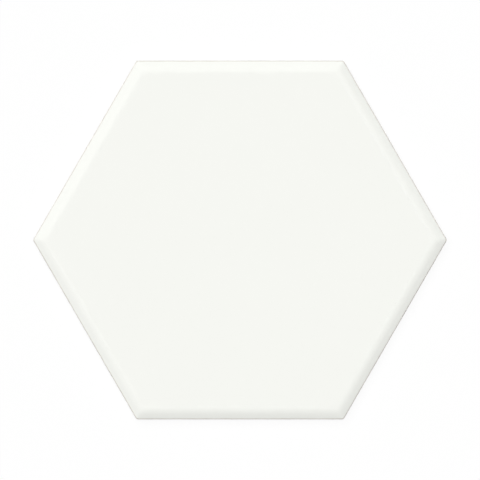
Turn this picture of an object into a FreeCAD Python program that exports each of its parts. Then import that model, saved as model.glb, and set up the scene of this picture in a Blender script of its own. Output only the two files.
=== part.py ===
import FreeCAD, Part
import math
import os
import Sketcher

# A pressed and glazed porcelain floor tile, a regular hexagon in one solid piece.
#
# The tile lies on its back. The origin is the middle of the back, +Z points out of the
# glazed face, two corners lie on the X axis and two of the six sides face +Y and -Y.
# The face is flat in the middle. Along each side it falls away as a cushion: a long soft
# blend, a short slope, then a small arris radius into the upright side. Cushions of
# neighbouring sides meet in a mitre that runs to the corner. Below the seam left by the
# die the side leans in, and a chamfer eases it into the back.
# The back is keyed for the adhesive: a honeycomb of shallow six-sided pockets parted by
# narrow ribs, inside a plain rim. Rim and ribs are level and carry the tile.

# name, size in millimetres or degrees, what it is
SIZES = [
    ("flat_to_flat", 175.0, "across two opposite sides, above the seam"),
    ("thickness", 9.0, "back to the flat of the face"),
    ("corner_radius", 1.2, "upright corners, seen in plan"),
    ("blend_width", 3.7, "the cushion's blend into the flat of the face, seen in plan"),
    ("slope_width", 1.9, "the cushion's slope, from the blend to the arris, seen in plan"),
    ("cushion_slope", 25.0, "degrees, at that slope"),
    ("arris_radius", 1.2, "from the slope into the upright side"),
    ("seam_height", 5.5, "back to the seam of the die"),
    ("side_draft", 2.0, "degrees, lean of the side below the seam"),
    ("back_chamfer", 0.8, "45 degree chamfer round the back"),
    ("rim_width", 7.5, "least distance from the side to a pocket"),
    ("pocket_pitch", 14.0, "middle to middle of neighbouring pockets"),
    ("rib_width", 2.2, "between two pockets, at the back"),
    ("pocket_depth", 0.8, "depth of a pocket"),
    ("pocket_draft", 30.0, "degrees, lean of a pocket's walls"),
]

SIDES = 6
SECTORS = 3  # of pockets, each a rhombus, round the middle pocket
CUT_ROOM = 1.0  # how far a forming cut reaches past the tile, in millimetres
START, END, CENTRE = range(1, 4)  # the points of an edge, as a sketch numbers them
ORIGIN = (-1, 1)  # the origin point of a sketch
LEVEL = -1  # the horizontal axis of a sketch
UPWARD = FreeCAD.Vector(0, 0, 1)


def add_sizes(doc):
    """A spreadsheet with one named cell for each driving size."""
    sheet = doc.addObject("Spreadsheet::Sheet", "sizes")
    for row, (name, value, meaning) in enumerate(SIZES, start=1):
        sheet.set(f"A{row}", name)
        sheet.set(f"B{row}", str(value))
        sheet.set(f"C{row}", meaning)
        sheet.setAlias(f"B{row}", name)
    doc.recompute()
    return sheet


def origin_part(body, role):
    """The body's own origin plane or axis of that role."""
    return next(f for f in body.Origin.OriginFeatures if f.Role == role)


def new_sketch(body, name, role):
    """An empty sketch on one of the body's origin planes."""
    sketch = body.newObject("Sketcher::SketchObject", name)
    sketch.AttachmentSupport = (origin_part(body, role), [""])
    sketch.MapMode = "FlatFace"
    return sketch


def polar(radius, degrees):
    """The point at that distance and direction from the origin of a sketch."""
    angle = math.radians(degrees)
    return FreeCAD.Vector(radius * math.cos(angle), radius * math.sin(angle), 0)


def hold(sketch, *rule):
    """Adds a constraint to the sketch."""
    return sketch.addConstraint(Sketcher.Constraint(*rule))


def size(sketch, name, expression, *rule):
    """Adds a dimension to the sketch, names it and binds it to an expression."""
    sketch.renameConstraint(hold(sketch, *rule), name)
    sketch.setExpression(f"Constraints.{name}", expression)


def add_circle(sketch, middle, radius):
    """A construction circle."""
    return sketch.addGeometry(Part.Circle(middle, UPWARD, radius), True)


def add_arc(sketch, middle, radius, first, last):
    """An arc that runs counter-clockwise between two directions in degrees."""
    circle = Part.Circle(middle, UPWARD, radius)
    return sketch.addGeometry(Part.ArcOfCircle(circle, math.radians(first), math.radians(last)))


def draw_outline(sketch, sheet):
    """The tile in plan: six equal sides joined by six equal corner arcs."""
    radius = sheet.corner_radius
    reach = (sheet.flat_to_flat / 2 - radius) / math.cos(math.pi / SIDES)
    step = 360 / SIDES
    sides = []
    corners = []
    for i in range(SIDES):
        outward = polar(radius, (i + 0.5) * step)
        line = Part.LineSegment(polar(reach, i * step) + outward, polar(reach, (i + 1) * step) + outward)
        sides.append(sketch.addGeometry(line))
        corner = (i + 1) * step
        corners.append(add_arc(sketch, polar(reach, corner), radius, corner - step / 2, corner + step / 2))
    middles = add_circle(sketch, FreeCAD.Vector(), reach)
    hold(sketch, "Coincident", middles, CENTRE, *ORIGIN)
    for i in range(SIDES):
        hold(sketch, "Tangent", sides[i], END, corners[i], START)
        hold(sketch, "Tangent", corners[i], END, sides[(i + 1) % SIDES], START)
        hold(sketch, "PointOnObject", corners[i], CENTRE, middles)
    for i in range(1, SIDES):
        hold(sketch, "Equal", sides[0], sides[i])
        hold(sketch, "Equal", corners[0], corners[i])
    hold(sketch, "PointOnObject", corners[SIDES - 1], CENTRE, LEVEL)
    size(sketch, "corner", "sizes.corner_radius", "Radius", corners[0], radius)
    size(sketch, "across", "sizes.flat_to_flat",
         "DistanceY", sides[4], START, sides[1], START, sheet.flat_to_flat)


def press_blank(body, sheet):
    """The plain prism, upright above the seam and leaning in below it."""
    outline = new_sketch(body, "outline", "XY_Plane")
    outline.setExpression("AttachmentOffset.Base.z", "sizes.seam_height")
    draw_outline(outline, sheet)
    blank = body.newObject("PartDesign::Pad", "blank")
    blank.Profile = outline
    blank.SideType = "Two sides"
    blank.setExpression("Length", "sizes.thickness - sizes.seam_height")
    blank.setExpression("Length2", "sizes.seam_height")
    blank.setExpression("TaperAngle2", "-sizes.side_draft")
    return blank


def draw_face_cut(sketch, sheet):
    """What the die leaves out above one side: everything outside the cushion and arris."""
    side = sheet.flat_to_flat / 2
    top = sheet.thickness
    slope = math.radians(sheet.cushion_slope)
    arris_width = sheet.arris_radius * (1 - math.sin(slope))
    foot = FreeCAD.Vector(side - arris_width - sheet.slope_width - sheet.blend_width, top, 0)
    blend_radius = sheet.blend_width / math.sin(slope)
    toward_slope = 90 - sheet.cushion_slope  # degrees, the way the slope faces
    blend_middle = foot - FreeCAD.Vector(0, blend_radius, 0)
    blend_end = blend_middle + polar(blend_radius, toward_slope)
    arris_start = blend_end + FreeCAD.Vector(sheet.slope_width, -sheet.slope_width * math.tan(slope), 0)
    arris_middle = arris_start - polar(sheet.arris_radius, toward_slope)
    arris_end = arris_middle + FreeCAD.Vector(sheet.arris_radius, 0, 0)
    far = side + CUT_ROOM
    above = top + CUT_ROOM

    blend = add_arc(sketch, blend_middle, blend_radius, toward_slope, 90)
    fall = sketch.addGeometry(Part.LineSegment(blend_end, arris_start))
    arris = add_arc(sketch, arris_middle, sheet.arris_radius, 0, toward_slope)
    outside = [arris_end, FreeCAD.Vector(far, arris_end.y, 0), FreeCAD.Vector(far, above, 0),
               FreeCAD.Vector(foot.x, above, 0), foot]
    out, up, back, down = [sketch.addGeometry(Part.LineSegment(a, b)) for a, b in zip(outside, outside[1:])]

    hold(sketch, "Tangent", blend, START, fall, START)
    hold(sketch, "Tangent", fall, END, arris, END)
    hold(sketch, "Coincident", arris, START, out, START)
    for line, following in ((out, up), (up, back), (back, down)):
        hold(sketch, "Coincident", line, END, following, START)
    hold(sketch, "Coincident", down, END, blend, END)
    hold(sketch, "Vertical", blend, CENTRE, blend, END)
    hold(sketch, "Horizontal", arris, CENTRE, arris, START)
    for line in (out, back):
        hold(sketch, "Horizontal", line)
    for line in (up, down):
        hold(sketch, "Vertical", line)
    size(sketch, "face", "sizes.thickness", "DistanceY", *ORIGIN, blend, END, top)
    size(sketch, "blend", "sizes.blend_width", "DistanceX", blend, END, blend, START, sheet.blend_width)
    size(sketch, "slope", "-sizes.cushion_slope", "Angle", fall, -slope)
    size(sketch, "fall", "sizes.slope_width", "DistanceX", fall, START, fall, END, sheet.slope_width)
    size(sketch, "arris", "sizes.arris_radius", "Radius", arris, sheet.arris_radius)
    size(sketch, "side", "sizes.flat_to_flat / 2", "DistanceX", *ORIGIN, arris, START, side)
    hold(sketch, "DistanceX", out, START, out, END, CUT_ROOM)
    hold(sketch, "DistanceY", down, END, down, START, CUT_ROOM)


def draw_back_cut(sketch, sheet):
    """What the die leaves out below one side: everything outside the chamfer."""
    reach = sheet.flat_to_flat / 2 - sheet.seam_height * math.tan(math.radians(sheet.side_draft))
    near = FreeCAD.Vector(reach - sheet.back_chamfer - CUT_ROOM, -CUT_ROOM, 0)
    far = sheet.flat_to_flat / 2 + CUT_ROOM
    high = FreeCAD.Vector(far, near.y + far - near.x, 0)
    low = FreeCAD.Vector(far, near.y, 0)
    chamfer, drop, below = [sketch.addGeometry(Part.LineSegment(a, b))
                            for a, b in ((near, high), (high, low), (low, near))]
    for line, following in ((chamfer, drop), (drop, below), (below, chamfer)):
        hold(sketch, "Coincident", line, END, following, START)
    hold(sketch, "Vertical", drop)
    hold(sketch, "Horizontal", below)
    hold(sketch, "Angle", chamfer, math.radians(45))
    size(sketch, "near", "sizes.flat_to_flat / 2 - sizes.seam_height * tan(sizes.side_draft * 1 deg)"
         f" - sizes.back_chamfer - {CUT_ROOM}", "DistanceX", *ORIGIN, chamfer, START, near.x)
    size(sketch, "far", f"sizes.flat_to_flat / 2 + {CUT_ROOM}", "DistanceX", *ORIGIN, drop, START, far)
    hold(sketch, "DistanceY", chamfer, START, *ORIGIN, CUT_ROOM)


def form_edges(body, sheet):
    """Cuts one side's cushion, arris and chamfer right across the blank, then all six.
    Each cut stays outside its neighbours' cushions, so that they meet in true mitres."""
    section = new_sketch(body, "edge_section", "YZ_Plane")
    draw_face_cut(section, sheet)
    draw_back_cut(section, sheet)
    edge = body.newObject("PartDesign::Pocket", "edge")
    edge.Profile = section
    edge.SideType = "Symmetric"
    edge.setExpression("Length", "2 * sizes.flat_to_flat")
    edges = body.newObject("PartDesign::PolarPattern", "edges")
    edges.Originals = [edge]
    edges.Axis = (origin_part(body, "Z_Axis"), [""])
    edges.Angle = 360
    edges.Occurrences = SIDES
    body.Tip = edges
    return edges


def draw_pocket(sketch, sheet, middle):
    """A pocket's mouth: a hexagon with a flat towards each of its six neighbours."""
    flats = sheet.pocket_pitch - sheet.rib_width
    radius = flats / 2 / math.cos(math.pi / SIDES)
    step = 360 / SIDES
    corners = [middle + polar(radius, (i + 0.5) * step) for i in range(SIDES)]
    circle = add_circle(sketch, middle, radius)
    ends = zip(corners, corners[1:] + corners[:1])
    lines = [sketch.addGeometry(Part.LineSegment(a, b)) for a, b in ends]
    for i, line in enumerate(lines):
        hold(sketch, "Coincident", line, END, lines[(i + 1) % SIDES], START)
        hold(sketch, "PointOnObject", line, START, circle)
    for line in lines[1:]:
        hold(sketch, "Equal", lines[0], line)
    hold(sketch, "Vertical", lines[2])
    size(sketch, "mouth", "sizes.pocket_pitch - sizes.rib_width",
         "DistanceX", lines[2], START, lines[5], START, flats)
    return circle


def sink_pocket(body, name, mouth):
    """Sinks a pocket from the back, its walls leaning in towards the floor."""
    pocket = body.newObject("PartDesign::Pocket", name)
    pocket.Profile = mouth
    pocket.Reversed = True
    pocket.setExpression("Length", "sizes.pocket_depth")
    pocket.setExpression("TaperAngle", "-sizes.pocket_draft")
    return pocket


def key_back(body, sheet):
    """The honeycomb: a middle pocket, and three sectors of pockets turned round it."""
    mouth = new_sketch(body, "middle_mouth", "XY_Plane")
    circle = draw_pocket(mouth, sheet, FreeCAD.Vector())
    hold(mouth, "Coincident", circle, CENTRE, *ORIGIN)
    sink_pocket(body, "middle_pocket", mouth)

    mouth = new_sketch(body, "next_mouth", "XY_Plane")
    circle = draw_pocket(mouth, sheet, FreeCAD.Vector(sheet.pocket_pitch, 0, 0))
    hold(mouth, "PointOnObject", circle, CENTRE, LEVEL)
    size(mouth, "pitch", "sizes.pocket_pitch",
         "DistanceX", *ORIGIN, circle, CENTRE, sheet.pocket_pitch)
    slant = mouth.addGeometry(Part.LineSegment(FreeCAD.Vector(), polar(sheet.pocket_pitch, 120)), True)
    hold(mouth, "Coincident", slant, START, *ORIGIN)
    hold(mouth, "Angle", slant, math.radians(120))
    size(mouth, "slant", "sizes.pocket_pitch", "Distance", slant, sheet.pocket_pitch)
    pocket = sink_pocket(body, "next_pocket", mouth)

    # as many rings of pockets as leave the rim at least its width
    rings = ("floor((sizes.flat_to_flat / 2 - sizes.rim_width"
             " - (sizes.pocket_pitch - sizes.rib_width) / sqrt(3)) / (sizes.pocket_pitch * sqrt(3) / 2))")
    honeycomb = body.newObject("PartDesign::MultiTransform", "honeycomb")
    row = body.newObject("PartDesign::LinearPattern", "row")
    row.Direction = (origin_part(body, "X_Axis"), [""])
    rows = body.newObject("PartDesign::LinearPattern", "rows")
    rows.Direction = (mouth, ["Axis0"])
    for pattern in (row, rows):
        pattern.Mode = "Spacing"
        pattern.setExpression("Offset", "sizes.pocket_pitch")
    row.setExpression("Occurrences", rings)
    rows.setExpression("Occurrences", rings + " + 1")
    sectors = body.newObject("PartDesign::PolarPattern", "sectors")
    sectors.Axis = (origin_part(body, "Z_Axis"), [""])
    sectors.Angle = 360
    sectors.Occurrences = SECTORS
    honeycomb.Originals = [pocket]
    honeycomb.Transformations = [row, rows, sectors]
    honeycomb.Refine = False
    body.Tip = honeycomb
    return honeycomb


def check(doc, body):
    """Stops unless every object is sound and the body is one closed, valid solid."""
    for obj in doc.Objects:
        if "Invalid" in obj.State or "Error" in obj.State:
            raise RuntimeError(f"{obj.Name} failed: {obj.State}")
        if obj.isDerivedFrom("Sketcher::SketchObject") and not obj.FullyConstrained:
            raise RuntimeError(f"{obj.Name} isn't fully constrained")
    shape = body.Shape
    if shape.isNull() or not shape.isValid() or len(shape.Solids) != 1:
        raise RuntimeError(f"{body.Label} isn't one valid solid")


def build_tile(doc, sheet):
    """The tile: a pressed blank, its six formed edges and the keyed back."""
    body = doc.addObject("PartDesign::Body", "tile")
    body.Label = "hexagon_tile"
    steps = []
    for make in (press_blank, form_edges):
        steps.append(make(body, sheet))
        doc.recompute()
    steps.append(key_back(body, sheet))
    doc.recompute()
    volumes = [step.Shape.Volume for step in steps]
    if not volumes[0] > volumes[1] > volumes[2]:
        raise RuntimeError("a forming cut removed nothing")
    return body


def main():
    doc = FreeCAD.newDocument("hexagon_floor_tile")
    sheet = add_sizes(doc)
    tile = build_tile(doc, sheet)
    check(doc, tile)
    os.makedirs("parts", exist_ok=True)
    tile.Shape.exportStep(f"parts/{tile.Label}.step")
    box = tile.Shape.optimalBoundingBox(False)
    print(f"{tile.Label}: {box.XLength:.2f} x {box.YLength:.2f} x {box.ZLength:.2f} mm,"
          f" {tile.Shape.Volume / 1000:.1f} cm3, {len(tile.Shape.Faces)} faces")


main()
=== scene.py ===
import math

import bmesh
import bpy
from mathutils import Matrix, Vector, noise


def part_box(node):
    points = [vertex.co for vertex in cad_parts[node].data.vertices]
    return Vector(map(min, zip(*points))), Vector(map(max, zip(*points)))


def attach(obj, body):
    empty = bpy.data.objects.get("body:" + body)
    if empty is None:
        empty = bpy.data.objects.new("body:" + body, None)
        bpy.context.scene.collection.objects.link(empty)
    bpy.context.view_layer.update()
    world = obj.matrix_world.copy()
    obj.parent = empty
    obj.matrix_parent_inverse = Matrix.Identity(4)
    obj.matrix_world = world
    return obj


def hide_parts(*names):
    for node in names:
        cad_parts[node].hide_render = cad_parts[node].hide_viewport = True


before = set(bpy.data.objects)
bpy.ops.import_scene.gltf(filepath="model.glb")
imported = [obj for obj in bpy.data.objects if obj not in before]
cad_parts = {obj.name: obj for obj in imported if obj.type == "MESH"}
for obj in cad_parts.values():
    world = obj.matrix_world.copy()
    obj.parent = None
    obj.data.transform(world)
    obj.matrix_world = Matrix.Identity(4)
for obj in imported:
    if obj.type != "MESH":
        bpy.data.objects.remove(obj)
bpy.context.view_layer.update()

mm = 0.001
sides = 6
tileLow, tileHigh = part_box("hexagon_tile")


def toCorner(half):
    # middle to corner of a hexagon, from the distance between its middle and a side
    return half / math.cos(math.pi / sides)


def addNode(tree, kind, inputs=(), **settings):
    # a shader node, with a value or another node's output for each input that is named
    node = tree.nodes.new("ShaderNode" + kind)
    for name, value in settings.items():
        setattr(node, name, value)
    for name, given in dict(inputs).items():
        if isinstance(given, bpy.types.NodeSocket):
            tree.links.new(given, node.inputs[name])
        else:
            node.inputs[name].default_value = given
    return node


print("camera")
picture = {
    "side": 480,  # pixels, width and height
    "acrossFlats": 360.2,  # pixels between opposite sides of the tile, mean of its three pairs
    "lens": 100,  # a long lens, so that the upright sides stay hidden
    "sensor": 36,
}


def makeCamera():
    # straight above the middle of the tile, with +Y at the top of the picture
    width = picture["side"] / picture["acrossFlats"] * (tileHigh.y - tileLow.y)
    data = bpy.data.cameras.new("camera")
    data.lens = picture["lens"]
    data.sensor_width = picture["sensor"]
    camera = bpy.data.objects.new("camera", data)
    camera.location = (0, 0, tileHigh.z + width * picture["lens"] / picture["sensor"])
    bpy.context.scene.collection.objects.link(camera)
    bpy.context.scene.camera = camera


makeCamera()

print("light")
studio = {
    "keyBearing": 120,  # degrees round from +X, so from the upper left of the picture
    "keyHeight": 72.8,  # degrees above the floor
    "keyShare": 0.941,  # what it gives a white level surface, where 1 is white
    "keySize": 60,  # degrees across, for soft shadow edges
    "fill": 0.02,  # the even light from above
    "rimFill": 0.5,  # the light of a white surround, at the horizon
    "rimHeight": 12,  # degrees above the horizon, where it is down to the even light
    "underBearing": 240,  # a second lamp, under the floor, lights the back through the opening
    "underHeight": -50,
    "underShare": 0.7,
    "underSize": 25,
    "underFill": 0.25,
    "background": 1.0,
}
white = (1, 1, 1, 1)


def seenDirectly(tree):
    # 1 for rays from the camera and in reflections, 0 for those that only carry light
    path = addNode(tree, "LightPath")
    cameraOrGlossy = addNode(tree, "Math", {
        0: path.outputs["Is Camera Ray"], 1: path.outputs["Is Glossy Ray"]}, operation="ADD")
    seen = addNode(tree, "Math", {
        0: cameraOrGlossy.outputs[0], 1: path.outputs["Is Transmission Ray"]},
        operation="ADD", use_clamp=True)
    return seen.outputs[0]


def makeLamp(name):
    # a far soft lamp, the same all over the tile, left out of reflections as if behind a diffuser
    height = math.radians(studio[name + "Height"])
    bearing = math.radians(studio[name + "Bearing"])
    data = bpy.data.lights.new(name, "SUN")
    data.energy = math.pi * studio[name + "Share"] / abs(math.sin(height))
    data.angle = math.radians(studio[name + "Size"])
    lamp = bpy.data.objects.new(name, data)
    lamp.visible_glossy = False
    level = Vector((math.cos(bearing), math.sin(bearing), 0)) * math.cos(height)
    towards = level + Vector((0, 0, math.sin(height)))
    lamp.rotation_euler = towards.to_track_quat("Z", "Y").to_euler()
    bpy.context.scene.collection.objects.link(lamp)


def makeWorld():
    # weak light from above, more at the horizon and from below, in front of a white background
    world = bpy.data.worlds.new("studio")
    world.use_nodes = True
    bpy.context.scene.world = world
    tree = world.node_tree
    tree.nodes.clear()
    ray = addNode(tree, "NewGeometry")
    upward = addNode(tree, "SeparateXYZ", {0: ray.outputs["Position"]})
    above = addNode(tree, "MapRange", {
        "Value": upward.outputs["Z"], "From Max": math.sin(math.radians(studio["rimHeight"])),
        "To Min": studio["rimFill"], "To Max": studio["fill"]})
    below = addNode(tree, "Math", {0: upward.outputs["Z"], 1: 0}, operation="LESS_THAN")
    strength = addNode(tree, "Mix", {
        "Factor": below.outputs[0], "A": above.outputs["Result"], "B": studio["underFill"]})
    fill = addNode(tree, "Background", {"Color": white, "Strength": strength.outputs["Result"]})
    backdrop = addNode(tree, "Background", {"Color": white, "Strength": studio["background"]})
    mix = addNode(tree, "MixShader", {
        0: seenDirectly(tree), 1: fill.outputs[0], 2: backdrop.outputs[0]})
    addNode(tree, "OutputWorld", {"Surface": mix.outputs[0]})


makeLamp("key")
makeLamp("under")
makeWorld()
bpy.context.scene.view_settings.view_transform = "Standard"

print("floor")
floor = {
    "reach": 3.0,  # metres from the tile to the far edge
    "segments": 64,
    "tone": 0.9,  # of the light that it throws back on the tile
    "glow": 0.9,  # how far the floor is plain background rather than lit and shaded
    "openingInset": 1.3,  # mm, the tile's side to the opening that shows the back from below
}


def makeFloorMaterial():
    # where it is seen, mostly plain background with a faint shadow, and where it throws light
    # back, a pale matt floor, but clear from below
    material = bpy.data.materials.new("floor")
    material.use_nodes = True
    tree = material.node_tree
    tree.nodes.clear()
    seen = seenDirectly(tree)
    tone = addNode(tree, "Mix", {
        "Factor": seen, "A": (floor["tone"],) * 3 + (1,), "B": white}, data_type="RGBA")
    lit = addNode(tree, "BsdfDiffuse", {"Color": tone.outputs["Result"]})
    plain = addNode(tree, "Emission", {"Strength": studio["background"]})
    share = addNode(tree, "Math", {0: seen, 1: floor["glow"]}, operation="MULTIPLY")
    above = addNode(tree, "MixShader", {
        0: share.outputs[0], 1: lit.outputs[0], 2: plain.outputs[0]})
    surface = addNode(tree, "NewGeometry")
    clear = addNode(tree, "BsdfTransparent")
    either = addNode(tree, "MixShader", {
        0: surface.outputs["Backfacing"], 1: above.outputs[0], 2: clear.outputs[0]})
    addNode(tree, "OutputMaterial", {"Surface": either.outputs[0]})
    return material


def makeFloor():
    bm = bmesh.new()
    bmesh.ops.create_circle(bm, segments=floor["segments"], radius=floor["reach"])
    opening = toCorner(tileHigh.y - floor["openingInset"] * mm)
    turn = Matrix.Rotation(math.pi / sides, 4, "Z")
    bmesh.ops.create_circle(bm, segments=sides, radius=opening, matrix=turn)
    bmesh.ops.bridge_loops(bm, edges=bm.edges[:])
    bmesh.ops.recalc_face_normals(bm, faces=bm.faces[:])
    if bm.faces[0].normal.z < 0:
        bmesh.ops.reverse_faces(bm, faces=bm.faces[:])
    mesh = bpy.data.meshes.new("floor")
    bm.to_mesh(mesh)
    bm.free()
    mesh.materials.append(makeFloorMaterial())
    piece = bpy.data.objects.new("floor", mesh)
    bpy.context.scene.collection.objects.link(piece)


makeFloor()

print("tile")
tile = {
    "blendWidth": 3.7,  # mm, the cushion's blend into the flat of the face, seen in plan
    "slopeWidth": 1.9,  # the cushion's slope between the blend and the arris, seen in plan
    "cushionSlope": 25,  # degrees
    "arrisRadius": 1.2,
    "cornerRadius": 1.2,  # upright corners, seen in plan
    "mitreRadius": 2.5,  # corners of the flat of the face, where two cushions run into each other
    "seamHeight": 5.5,  # back to where the side starts to lean in
    "sideDraft": 2,  # degrees
    "backChamfer": 0.8,
    "backRounding": 0.2,
    "columns": 60,  # quads along each side, corners included
    "cornerSteps": 3,  # of them in each half of a corner
    "blendSteps": 12,
    "arrisSteps": 10,
    "roundingSteps": 3,
    "supportWidth": 0.5,  # flat bands next to the roundings, which keep the flats' shading flat
    "gridInset": 3,  # from the flat's outline to the even grid of triangles that fills it
    "glazeLine": 4.2,  # back to the glaze's lower edge, on average
    "glazeWander": 0.8,  # how far that edge strays up or down
    "longWave": 17,  # mm, of that straying
    "shortWave": 5,
    "shortWaveShare": 0.6,  # its height, where the long one's is 1
    "glazeThickness": 0.16,
    "beadRounding": 0.11,  # of the glaze's lower edge
    "glazeFade": 0.45,  # height over which the glaze thins to its edge
    "fadeParts": 3,  # a ring divides the fade one such part above the edge
    "arrisFilmAndShade": 0.2,  # share of the glaze's thickness left on the arris, whose darker body line is partly painted shade
    "arrisAbruptness": 4,  # how suddenly it thins at the two ends of the arris, an even number
}
pockets = {
    "pitch": 14,  # mm, middle to middle
    "rib": 2.2,
    "depth": 0.8,
    "draft": 30,  # degrees
    "rings": 6,  # of pockets round the middle one
    "columns": 5,
    "cornerSteps": 2,
    "cornerRounding": 0.8,
    "lipRounding": 0.22,
    "floorRounding": 0.35,
    "roundingSteps": 2,
    "supportWidth": 0.25,
    "mergeDistance": 0.01,  # joins the edges of neighbouring cells
}
glaze, bare = 0, 1  # material places


def bearing(spot):
    # once round from the +X axis, with a hair's breadth of room for points on the axis itself
    return (math.atan2(spot.y, spot.x) + 1e-6) % (2 * math.pi)


def ringPoints(half, rounding, columns, cornerSteps, turn=0):
    # a hexagon with rounded corners, from half its width across the flats, in mm
    def onCorner(place, bend):
        # bend runs from -1 to 1 along the corner's arc
        towards = place * 2 * math.pi / sides + turn
        middle = Matrix.Rotation(towards, 2) @ Vector((toCorner(half - rounding), 0))
        out = Matrix.Rotation(towards + bend * math.pi / sides, 2) @ Vector((rounding, 0))
        return middle + out

    points = []
    straightSteps = columns - 2 * cornerSteps
    for place in range(sides):
        lineStart, lineEnd = onCorner(place, 1), onCorner(place + 1, -1)
        for step in range(columns):
            left = columns - step
            if step < cornerSteps:
                points.append(onCorner(place, step / cornerSteps))
            elif left < cornerSteps:
                points.append(onCorner(place + 1, -left / cornerSteps))
            else:
                points.append(lineStart.lerp(lineEnd, (step - cornerSteps) / straightSteps))
    return sorted(points, key=bearing)


def drawSection(corners):
    # a section from its corners, each (distance out, height, rounding, steps of it), in mm
    drawn = []
    for place, (out, height, rounding, steps) in enumerate(corners):
        corner = Vector((out, height))
        if not rounding:
            drawn.append(corner)
            continue
        before = (Vector(corners[place - 1][:2]) - corner).normalized()
        after = (Vector(corners[place + 1][:2]) - corner).normalized()
        opening = before.angle(after)
        reach = rounding / math.tan(opening / 2)
        middle = corner + (before + after).normalized() * rounding / math.sin(opening / 2)
        start = corner + before * reach - middle
        turn = start.angle_signed(corner + after * reach - middle)
        for step in range(steps + 1):
            drawn.append(middle + Matrix.Rotation(-turn * step / steps, 2) @ start)
    return drawn


def pick(made, kind):
    # the points, edges or faces among what an operator made
    return [item for item in made if isinstance(item, kind)]


def openEdges(made):
    return [edge for edge in pick(made, bmesh.types.BMEdge) if edge.is_boundary]


def edgesAt(verts):
    return list({edge for vert in verts for edge in vert.link_edges})


def placeRing(bm, verts, points, heights, filmAndShade):
    # moves a ring of the mesh to its points, which come in the order of their bearing
    layer = bm.verts.layers.float["glazeFilmAndEdgeShade"]
    verts = sorted(verts, key=lambda vert: bearing(vert.co))
    for vert, point, height in zip(verts, points, heights):
        vert.co = (point.x * mm, point.y * mm, height * mm)
        vert[layer] = filmAndShade


def startRing(bm, points, height, filmAndShade):
    # the first ring of a surface
    verts = bmesh.ops.create_circle(bm, segments=len(points), radius=1)["verts"]
    placeRing(bm, verts, points, [height] * len(points), filmAndShade)
    return edgesAt(verts)


def carryOn(bm, edges, points, heights, filmAndShade, material):
    # extrudes the open outline to the next ring, and gives back that ring's edges
    made = bmesh.ops.extrude_edge_only(bm, edges=edges)["geom"]
    placeRing(bm, pick(made, bmesh.types.BMVert), points, heights, filmAndShade)
    for face in pick(made, bmesh.types.BMFace):
        face.material_index = material
    return openEdges(made)


def addHoneycomb(bm):
    # one cell, from the middle of the ribs round it down to its pocket's floor,
    # then a copy of it for each other pocket
    turn = math.pi / sides
    mouth = (pockets["pitch"] - pockets["rib"]) / 2
    depth = pockets["depth"]
    lean = depth * math.tan(math.radians(pockets["draft"]))
    lip, foot, support = pockets["lipRounding"], pockets["floorRounding"], pockets["supportWidth"]
    steps = pockets["roundingSteps"]
    section = drawSection([
        (mouth + lip + support, 0, 0, 0),
        (mouth, 0, lip, steps),
        (mouth - lean, depth, foot, steps),
        (mouth - lean - foot - support, depth, 0, 0),
    ])
    border = ringPoints(pockets["pitch"] / 2, 0, pockets["columns"], 0, turn)
    edges = startRing(bm, border, 0, 0)
    for out, height in section:
        points = ringPoints(
            out, pockets["cornerRounding"], pockets["columns"], pockets["cornerSteps"], turn)
        edges = carryOn(bm, edges, points, [height] * len(points), 0, bare)
    for face in bmesh.ops.edgeloop_fill(bm, edges=edges)["faces"]:
        face.material_index = bare

    cell = bm.verts[:] + bm.edges[:] + bm.faces[:]
    along = Vector((pockets["pitch"] * mm, 0, 0))
    across = Matrix.Rotation(2 * math.pi / sides, 3, "Z") @ along
    rings = pockets["rings"]
    for i in range(-rings, rings + 1):
        for j in range(max(-rings, -rings - i), min(rings, rings - i) + 1):
            if i or j:
                made = bmesh.ops.duplicate(bm, geom=cell)["geom"]
                verts = pick(made, bmesh.types.BMVert)
                bmesh.ops.translate(bm, verts=verts, vec=i * along + j * across)
    bmesh.ops.remove_doubles(bm, verts=bm.verts[:], dist=pockets["mergeDistance"] * mm)
    return openEdges(bm.edges)


def wander(point):
    # how far the glaze's lower edge strays at that point of the side, about -1 to 1
    spot = Vector((point.x, point.y, 0))
    short = noise.noise(spot / tile["shortWave"])
    return noise.noise(spot / tile["longWave"]) + tile["shortWaveShare"] * short


def addFaceGrid(bm, flat, top):
    # the level middle of the face, an even grid of triangles with the glaze at its full
    # thickness
    lift = Matrix.Translation((0, 0, top * mm)) @ Matrix.Rotation(math.pi / sides, 4, "Z")
    radius = toCorner(flat - tile["gridInset"]) * mm
    middle = bmesh.ops.create_circle(
        bm, cap_ends=True, cap_tris=True, segments=sides, radius=radius, matrix=lift)["verts"]
    made = bmesh.ops.subdivide_edges(
        bm, edges=edgesAt(middle), cuts=tile["columns"] - 1, use_grid_fill=True)["geom"]
    layer = bm.verts.layers.float["glazeFilmAndEdgeShade"]
    for vert in bm.verts:
        if vert.co.z > tile["seamHeight"] * mm:
            vert[layer] = 1
    return openEdges(made)


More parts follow.
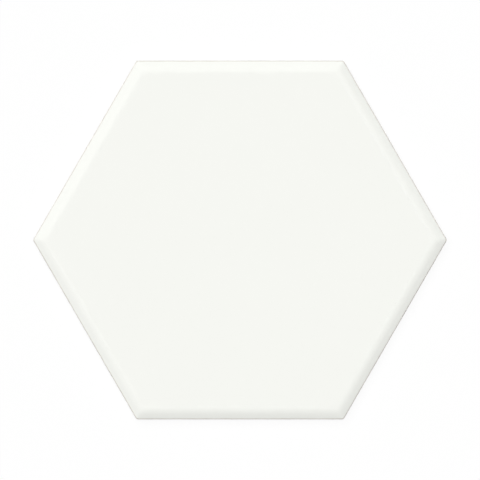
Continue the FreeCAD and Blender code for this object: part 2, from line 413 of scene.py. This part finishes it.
def addOutside(bm):
    # the face, the cushions, the sides and the rim of the back, ring by ring from the face's grid
    half = tileHigh.y / mm
    top = tileHigh.z / mm
    slope = math.radians(tile["cushionSlope"])
    blendRadius = tile["blendWidth"] / math.sin(slope)
    arris = tile["arrisRadius"]
    arrisWidth = arris * (1 - math.sin(slope))
    flat = half - arrisWidth - tile["slopeWidth"] - tile["blendWidth"]
    crease = flat + blendRadius * math.tan(slope / 2)
    edge = top - (half - crease) * math.tan(slope)
    arrisFoot = edge + arrisWidth * math.tan(slope) - arris * math.cos(slope)
    seam, line = tile["seamHeight"], tile["glazeLine"]
    thick, fade = tile["glazeThickness"], tile["glazeFade"]
    division = line + fade / tile["fadeParts"]
    support, chamfer, rounding = tile["supportWidth"], tile["backChamfer"], tile["backRounding"]
    steps = tile["roundingSteps"]

    def sideAt(height):
        return half - (seam - height) * math.tan(math.radians(tile["sideDraft"]))

    def filmAndEdgeShadeAt(height):
        # the glaze draws back all along the arris, from one end of its arc to the other, so that
        # the darker body gives a line there that is partly painted shade along the edge, and it
        # thins out at its lower edge
        upright = min(max((height - arrisFoot) / arris, 0), math.cos(slope))
        turned = (math.acos(upright) - slope) / (math.pi / 2 - slope)
        onArris = 1 - (2 * turned - 1) ** tile["arrisAbruptness"]
        edgeShare = min(max((height - line) / fade, 0), 1)
        return edgeShare * (1 - (1 - tile["arrisFilmAndShade"]) * onArris)

    def cornerAt(out, height):
        share = (half - out) / (half - flat) if height > seam else 0
        return tile["cornerRadius"] + (tile["mitreRadius"] - tile["cornerRadius"]) * min(share, 1)

    def strayAt(height):
        # most at the glaze's edge, none at the seam above it and at the chamfer below it
        if height > line:
            share = (seam - height) / (seam - line)
        else:
            share = (height - chamfer) / (line - chamfer)
        return tile["glazeWander"] * min(max(share, 0), 1)

    glazed = drawSection([
        (flat - support, top, 0, 0),
        (crease, top, blendRadius, tile["blendSteps"]),
        (half, edge, arris, tile["arrisSteps"]),
        (half, seam, 0, 0),
        (sideAt(line + fade), line + fade, 0, 0),
        (sideAt(division), division, 0, 0),
        (sideAt(line), line, tile["beadRounding"], steps),
        (sideAt(line) - thick, line, 0, 0),
    ])
    unglazed = drawSection([
        (sideAt(line - support) - thick, line - support, 0, 0),
        (sideAt(line / 2) - thick, line / 2, 0, 0),
        (sideAt(chamfer) - thick, chamfer, rounding, steps),
        (sideAt(0) - chamfer, 0, rounding, steps),
        (sideAt(0) - chamfer - rounding - support, 0, 0, 0),
    ])
    edges = addFaceGrid(bm, flat, top)
    for section, material in ((glazed, glaze), (unglazed, bare)):
        for out, height in section:
            points = ringPoints(out, cornerAt(out, height), tile["columns"], tile["cornerSteps"])
            heights = [height + strayAt(height) * wander(point) for point in points]
            edges = carryOn(bm, edges, points, heights, filmAndEdgeShadeAt(height), material)
    return edges


def placeNumber(spot, apart=1000):
    # one number for each place on the tile, with z, y and x kept apart in it
    return (spot.z * apart + spot.y) * apart + spot.x


def putInOrder(bm):
    # the operators leave the mesh in an order that changes from run to run
    bm.verts.sort(key=lambda vert: placeNumber(vert.co))
    bm.edges.sort(key=lambda edge: placeNumber(edge.verts[0].co + edge.verts[1].co))
    bm.faces.sort(key=lambda face: placeNumber(face.calc_center_median()))


def buildTile():
    bm = bmesh.new()
    # the glaze's thickness at each point; where it is thin along the arris, the darker body is
    # partly painted shade along the edge
    bm.verts.layers.float.new("glazeFilmAndEdgeShade")
    outlines = addHoneycomb(bm) + addOutside(bm)
    filled = bmesh.ops.triangle_fill(
        bm, use_beauty=True, use_dissolve=False, edges=outlines)["geom"]
    for face in pick(filled, bmesh.types.BMFace):
        face.material_index = bare
    bmesh.ops.recalc_face_normals(bm, faces=bm.faces[:])
    for face in bm.faces:
        face.smooth = True
    putInOrder(bm)
    return bm


bm = buildTile()
mesh = bpy.data.meshes.new("tile_glazed")
bm.to_mesh(mesh)
bm.free()
piece = bpy.data.objects.new("tile_glazed", mesh)
bpy.context.scene.collection.objects.link(piece)
print(f"  {len(mesh.polygons)} faces")

print("materials")
noiseMiddle = 0.5
noiseLow, noiseHigh = 0.28, 0.72  # most of the patches' noise lies between these


def newGroup(name, inputs, outputs):
    # a node group with named sockets, and its two end nodes
    tree = bpy.data.node_groups.new(name, "ShaderNodeTree")
    for way, sockets in (("INPUT", inputs), ("OUTPUT", outputs)):
        for label, kind in sockets.items():
            tree.interface.new_socket(label, in_out=way, socket_type="NodeSocket" + kind)
    return tree, tree.nodes.new("NodeGroupInput"), tree.nodes.new("NodeGroupOutput")


def addNoise(tree, given, detail, roughness):
    # noise at a group's position, with blobs of its size, in metres
    scale = addNode(tree, "Math", {0: 1, 1: given.outputs["Size"]}, operation="DIVIDE")
    field = addNode(tree, "TexNoise", {
        "Vector": given.outputs["Position"], "Scale": scale.outputs[0],
        "Detail": detail, "Roughness": roughness})
    return field.outputs["Fac"]


def makeUnevenTone():
    # a colour that drifts lighter and darker in soft clouds
    tree, given, result = newGroup("unevenTone", {
        "Position": "Vector", "Tone": "Color", "Drift": "Float", "Size": "Float"}, {
        "Color": "Color"})
    clouds = addNoise(tree, given, detail=3, roughness=0.55)
    swing = addNode(tree, "Math", {0: clouds, 1: noiseMiddle}, operation="SUBTRACT")
    factor = addNode(tree, "Math", {
        0: swing.outputs[0], 1: given.outputs["Drift"], 2: 1}, operation="MULTIPLY_ADD")
    tinted = addNode(tree, "VectorMath", {
        0: given.outputs["Tone"], "Scale": factor.outputs[0]}, operation="SCALE")
    tree.links.new(tinted.outputs[0], result.inputs["Color"])
    return tree


def makeSurfaceRelief():
    # bumps of the given depth, in metres, on top of the normal that comes in
    tree, given, result = newGroup("surfaceRelief", {
        "Position": "Vector", "Size": "Float", "Depth": "Float", "Normal": "Vector"}, {
        "Normal": "Vector"})
    bumps = addNoise(tree, given, detail=2, roughness=0.5)
    raised = addNode(tree, "Bump", {
        "Strength": 1, "Height": bumps, "Distance": given.outputs["Depth"],
        "Normal": given.outputs["Normal"]})
    tree.links.new(raised.outputs["Normal"], result.inputs["Normal"])
    return tree


def makePatches():
    # 1 in ragged patches that cover about the given share of the surface, 0 between them
    tree, given, result = newGroup("patches", {
        "Position": "Vector", "Size": "Float", "Share": "Float", "Softness": "Float"}, {
        "Mask": "Float"})
    field = addNoise(tree, given, detail=6, roughness=0.6)
    spread = addNode(tree, "MapRange", {
        "Value": field, "From Min": noiseLow, "From Max": noiseHigh})
    level = addNode(tree, "Math", {0: 1, 1: given.outputs["Share"]}, operation="SUBTRACT")
    above = addNode(tree, "Math", {
        0: spread.outputs["Result"], 1: level.outputs[0]}, operation="SUBTRACT")
    eased = addNode(tree, "Math", {
        0: above.outputs[0], 1: given.outputs["Softness"]}, operation="DIVIDE")
    mask = addNode(tree, "Math", {
        0: eased.outputs[0], 1: 0.5}, operation="ADD", use_clamp=True)  # half way at the level
    tree.links.new(mask.outputs[0], result.inputs["Mask"])
    return tree


unevenTone = makeUnevenTone()
surfaceRelief = makeSurfaceRelief()
patches = makePatches()

finish = {
    "glazeTone": (0.936, 0.945, 0.901),  # a near-white with a breath of green
    "glazeDrift": 0.012,
    "glazeCloud": 40,  # mm
    "raggedSize": 6,  # mm, of the breaks in the darker line along the arris, which is partly painted shade
    "glazeRoughness": 0.4,
    "peelSize": 3.5,  # mm, orange peel of the fired glaze
    "peelDepth": 0.006,
    "grainSize": 0.35,
    "grainDepth": 0.0006,
    "bareTone": (0.75, 0.715, 0.65),  # fired porcelain without glaze
    "bareDrift": 0.09,
    "bareCloud": 12,  # mm
    "bareRoughness": 0.75,
    "pressSize": 0.45,
    "pressDepth": 0.07,
    "speckTone": (0.45, 0.4, 0.33),
    "speckSize": 0.6,
    "speckShare": 0.1,
    "speckSoftness": 0.15,
    "washTone": (0.9, 0.895, 0.87),  # kiln wash that the raised parts of the back pick up
    "washRoughness": 0.95,
    "washHeight": 0.06,  # mm, back to where it ends
    "washSize": 14,
    "washShare": 0.45,
    "washSoftness": 0.35,
}


def newMaterial(name):
    # a material's tree, its shader and the position on the tile that its patterns read
    material = bpy.data.materials.new(name)
    material.use_nodes = True
    tree = material.node_tree
    position = addNode(tree, "TexCoord").outputs["Object"]
    return material, tree, tree.nodes["Principled BSDF"], position


def addTone(tree, position, name):
    # the finish's uneven tone of that name
    tone = addNode(tree, "Group", {
        "Position": position, "Tone": (*finish[name + "Tone"], 1),
        "Drift": finish[name + "Drift"],
        "Size": finish[name + "Cloud"] * mm}, node_tree=unevenTone)
    return tone.outputs["Color"]


def addRelief(tree, position, name, **under):
    # the finish's relief of that name, on top of another one's normal if that is given
    relief = addNode(tree, "Group", {
        "Position": position, "Size": finish[name + "Size"] * mm,
        "Depth": finish[name + "Depth"] * mm, **under}, node_tree=surfaceRelief)
    return relief.outputs["Normal"]


def addPatches(tree, position, name):
    # the finish's patches of that name
    mask = addNode(tree, "Group", {
        "Position": position, "Size": finish[name + "Size"] * mm,
        "Share": finish[name + "Share"],
        "Softness": finish[name + "Softness"]}, node_tree=patches)
    return mask.outputs["Mask"]


def blend(tree, mask, first, second, **settings):
    # the first where the mask is 0, the second where it is 1
    mixed = addNode(tree, "Mix", {"Factor": mask, "A": first, "B": second}, **settings)
    return mixed.outputs["Result"]


def makeBareTone(tree, position):
    # fired porcelain with fine specks, shared by both materials
    tone = addTone(tree, position, "bare")
    specks = addPatches(tree, position, "speck")
    return blend(tree, specks, tone, (*finish["speckTone"], 1), data_type="RGBA")


def makeGlaze():
    # satin white, with the body showing through where the glaze is thin, which along the arris is
    # also painted shade
    material, tree, shader, position = newMaterial("satin_glaze")
    filmAndShade = addNode(tree, "Attribute", attribute_name="glazeFilmAndEdgeShade")
    thinnessAndShade = addNode(tree, "Math", {0: 1, 1: filmAndShade.outputs["Fac"]}, operation="SUBTRACT")
    ragged = addNode(tree, "Group", {
        "Position": position, "Tone": white, "Drift": 1,
        "Size": finish["raggedSize"] * mm}, node_tree=unevenTone)
    # the darker line that this gives along the arris is partly painted shade
    bodyShownAndShade = addNode(tree, "Math", {
        0: thinnessAndShade.outputs[0], 1: ragged.outputs["Color"]}, operation="MULTIPLY", use_clamp=True)
    color = blend(
        tree, bodyShownAndShade.outputs[0], addTone(tree, position, "glaze"), makeBareTone(tree, position),
        data_type="RGBA")
    roughness = blend(tree, bodyShownAndShade.outputs[0], finish["glazeRoughness"], finish["bareRoughness"])
    peel = addRelief(tree, position, "peel")
    tree.links.new(color, shader.inputs["Base Color"])
    tree.links.new(roughness, shader.inputs["Roughness"])
    tree.links.new(addRelief(tree, position, "grain", Normal=peel), shader.inputs["Normal"])
    return material


def makeBare():
    # matt pressed porcelain, with kiln wash left in patches on the parts that stood in the kiln
    material, tree, shader, position = newMaterial("bare_porcelain")
    place = addNode(tree, "SeparateXYZ", {0: position})
    raised = addNode(tree, "Math", {
        0: place.outputs["Z"], 1: finish["washHeight"] * mm}, operation="LESS_THAN")
    wash = addNode(tree, "Math", {
        0: raised.outputs[0], 1: addPatches(tree, position, "wash")}, operation="MULTIPLY")
    color = blend(
        tree, wash.outputs[0], makeBareTone(tree, position), (*finish["washTone"], 1),
        data_type="RGBA")
    roughness = blend(tree, wash.outputs[0], finish["bareRoughness"], finish["washRoughness"])
    tree.links.new(color, shader.inputs["Base Color"])
    tree.links.new(roughness, shader.inputs["Roughness"])
    tree.links.new(addRelief(tree, position, "press"), shader.inputs["Normal"])
    return material


mesh.materials.append(makeGlaze())
mesh.materials.append(makeBare())
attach(piece, "root")
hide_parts("hexagon_tile")
